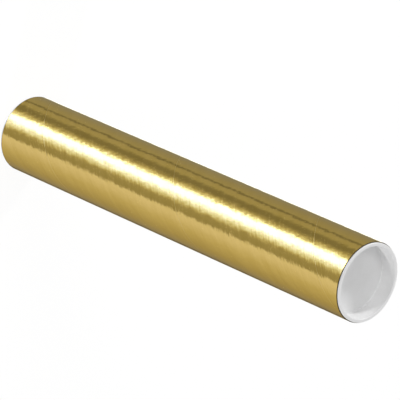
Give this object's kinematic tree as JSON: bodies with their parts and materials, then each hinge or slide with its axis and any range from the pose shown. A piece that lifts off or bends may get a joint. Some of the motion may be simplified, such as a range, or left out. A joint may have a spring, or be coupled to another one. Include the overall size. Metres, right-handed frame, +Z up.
{
  "type": "cardboard mailing tube",
  "caption": "Round cardboard mailing tube with a metallic foil face and a recessed plastic plug that pushes into each end.",
  "frame": {"origin": "centre of the flange ring that the standing tube rests on", "axes": "+Z up along the tube's axis; +X and +Y are any two square directions across it"},
  "size_m": [0.054, 0.054, 0.3294],
  "materials": {
    "tube_board": "gloss",
    "plug_plastic": "gloss"
  },
  "bodies": {
    "tube": {"tube": "tube_board"},
    "top_plug": {"top_plug": "plug_plastic"},
    "bottom_plug": {"bottom_plug": "plug_plastic"}
  },
  "joints": [
    {"name": "top_plug_slide", "type": "slide", "parent": "tube", "child": "top_plug", "axis": [0, 0, 1], "range_m": [0, 0.045]},
    {"name": "bottom_plug_slide", "type": "slide", "parent": "tube", "child": "bottom_plug", "axis": [0, 0, -1], "range_m": [0, 0.045]}
  ]
}
